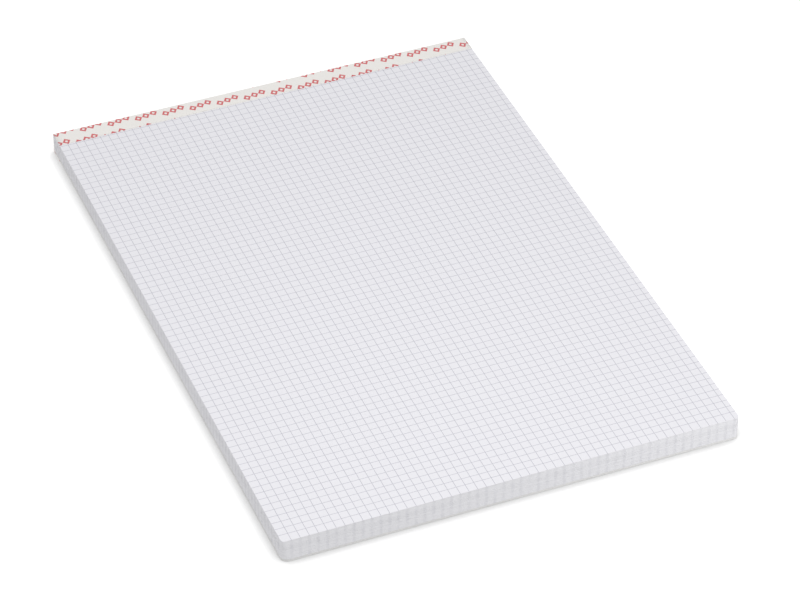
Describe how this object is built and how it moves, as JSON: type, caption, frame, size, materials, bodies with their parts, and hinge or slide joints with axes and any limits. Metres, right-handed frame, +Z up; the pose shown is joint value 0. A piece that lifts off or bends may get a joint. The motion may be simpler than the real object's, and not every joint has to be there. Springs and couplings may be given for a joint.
{
  "type": "writing pad",
  "caption": "Head-bound pad of squared writing paper on a grey backing board, with a paper strip folded over the head.",
  "frame": {"origin": "middle of the pad's footprint, on the surface it lies on", "axes": "+X across the sheets to the reader's right, +Y towards the bound head, +Z up from the surface"},
  "size_m": [0.21, 0.3064, 0.0118],
  "materials": {
    "writing_paper": "uncoated white writing paper with a faint cool tint, printed with pale squares",
    "grey_board": "matt recycled grey board with a fine fleck",
    "padding_glue": "flexible dried glue film, milky and slightly see-through",
    "strip_paper": "smooth off-white binding paper printed with small red marks"
  },
  "bodies": {
    "root": {"page_block": "writing_paper", "backing_board": "grey_board", "head_glue": "padding_glue", "binding_strip": "strip_paper"}
  },
  "joints": []
}
